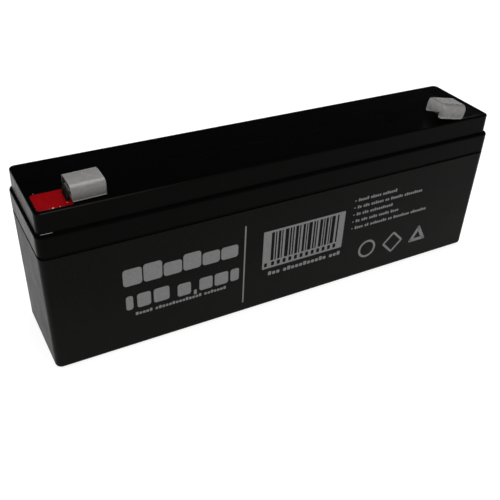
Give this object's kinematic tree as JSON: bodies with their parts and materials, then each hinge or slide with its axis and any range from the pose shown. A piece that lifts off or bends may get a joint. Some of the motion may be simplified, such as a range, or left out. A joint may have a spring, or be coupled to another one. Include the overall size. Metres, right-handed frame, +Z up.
{
  "type": "sealed lead-acid battery",
  "caption": "Slim sealed lead-acid battery in a black moulded case, with capped blade terminals at two corners of its lid.",
  "frame": {"origin": "middle of the underside of the case", "axes": "+X along the case from the positive end to the negative end, +Y from the front face to the back, +Z up"},
  "size_m": [0.178, 0.035, 0.0676],
  "materials": {
    "case_plastic": "satin moulded, fine texture",
    "lid_plastic": "smooth moulded, low sheen",
    "tinned_brass": "tin-plated sheet",
    "red_epoxy": "glossy cast resin",
    "black_epoxy": "glossy cast resin",
    "sleeve_plastic": "soft translucent",
    "valve_rubber": "moulded",
    "positive_plate": "pasted lead grid, brown oxide",
    "negative_plate": "pasted lead grid, sponge lead",
    "glass_mat": "absorbent glass fibre",
    "lead": "cast lead alloy"
  },
  "bodies": {
    "root": {"container": "case_plastic", "lid": "lid_plastic", "vent_cover": "lid_plastic", "positive_tab": "tinned_brass", "negative_tab": "tinned_brass", "positive_epoxy": "red_epoxy", "negative_epoxy": "black_epoxy", "positive_terminal_cap": "sleeve_plastic", "negative_terminal_cap": "sleeve_plastic", "partition_welds": "lead", "valve_cap_1": "valve_rubber", "positive_plates_1": "positive_plate", "negative_plates_1": "negative_plate", "glass_mats_1": "glass_mat", "positive_strap_1": "lead", "negative_strap_1": "lead", "valve_cap_2": "valve_rubber", "positive_plates_2": "positive_plate", "negative_plates_2": "negative_plate", "glass_mats_2": "glass_mat", "positive_strap_2": "lead", "negative_strap_2": "lead", "valve_cap_3": "valve_rubber", "positive_plates_3": "positive_plate", "negative_plates_3": "negative_plate", "glass_mats_3": "glass_mat", "positive_strap_3": "lead", "negative_strap_3": "lead", "valve_cap_4": "valve_rubber", "positive_plates_4": "positive_plate", "negative_plates_4": "negative_plate", "glass_mats_4": "glass_mat", "positive_strap_4": "lead", "negative_strap_4": "lead", "valve_cap_5": "valve_rubber", "positive_plates_5": "positive_plate", "negative_plates_5": "negative_plate", "glass_mats_5": "glass_mat", "positive_strap_5": "lead", "negative_strap_5": "lead", "valve_cap_6": "valve_rubber", "positive_plates_6": "positive_plate", "negative_plates_6": "negative_plate", "glass_mats_6": "glass_mat", "positive_strap_6": "lead", "negative_strap_6": "lead"}
  },
  "joints": []
}
